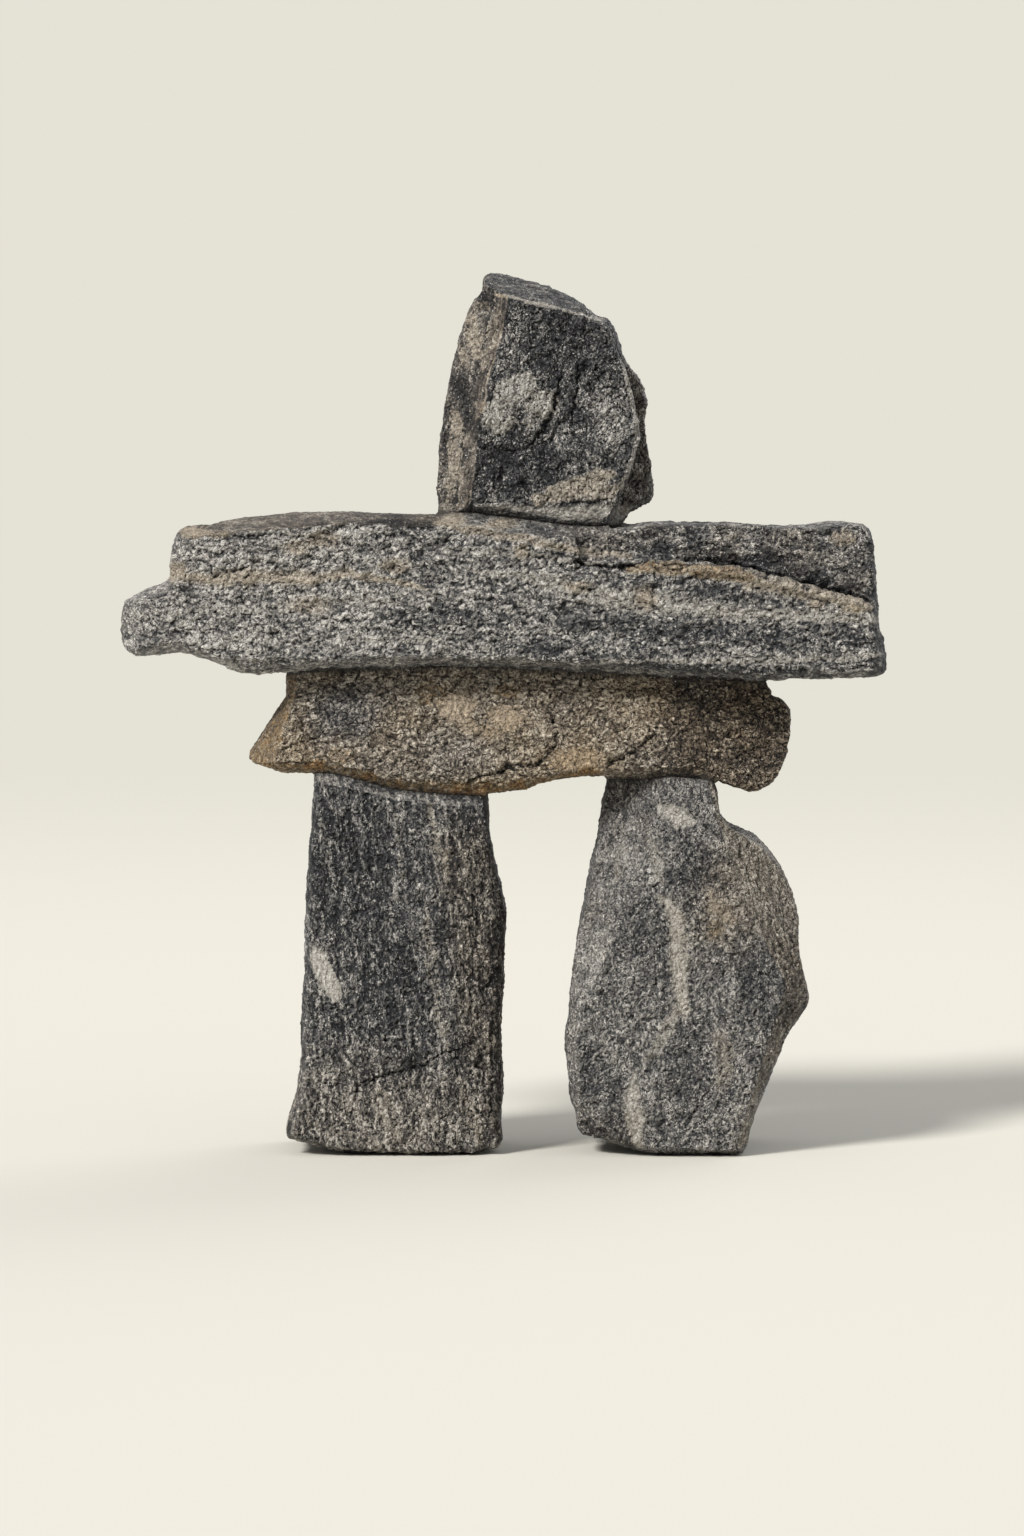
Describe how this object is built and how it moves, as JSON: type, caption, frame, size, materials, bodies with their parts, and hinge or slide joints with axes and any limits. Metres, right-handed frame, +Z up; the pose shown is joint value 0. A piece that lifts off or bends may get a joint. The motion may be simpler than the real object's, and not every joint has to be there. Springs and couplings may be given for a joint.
{
  "type": "stone cairn",
  "caption": "Small figure-shaped stone cairn: natural schist and gneiss stones dry-stacked as legs, belt, outstretched arms and head, standing on its feet.",
  "frame": {"origin": "middle of the whole cairn's footprint box, on the flat surface that the legs stand on", "axes": "+Z up along the cairn's height, the longest side; +Y from the front towards the back, the shortest side; +X to the right seen from the front, along the arms"},
  "size_m": [0.1526, 0.045, 0.1756],
  "materials": {
    "head_stone_rock": "rough split mica schist, dark, with a pale streaky edge and pale feldspar patches",
    "arm_slab_rock": "rough grey banded gneiss with pale seams and an ochre ledge",
    "belt_stone_rock": "rough brown-grey weathered gneiss with rust along the lower edge",
    "left_leg_stone_rock": "dark streaky schist with a pale lens",
    "right_leg_stone_rock": "grey speckled gneiss with a pale quartz vein"
  },
  "bodies": {
    "root": {"head_stone": "head_stone_rock", "arm_slab": "arm_slab_rock", "belt_stone": "belt_stone_rock", "left_leg_stone": "left_leg_stone_rock", "right_leg_stone": "right_leg_stone_rock"}
  },
  "joints": []
}
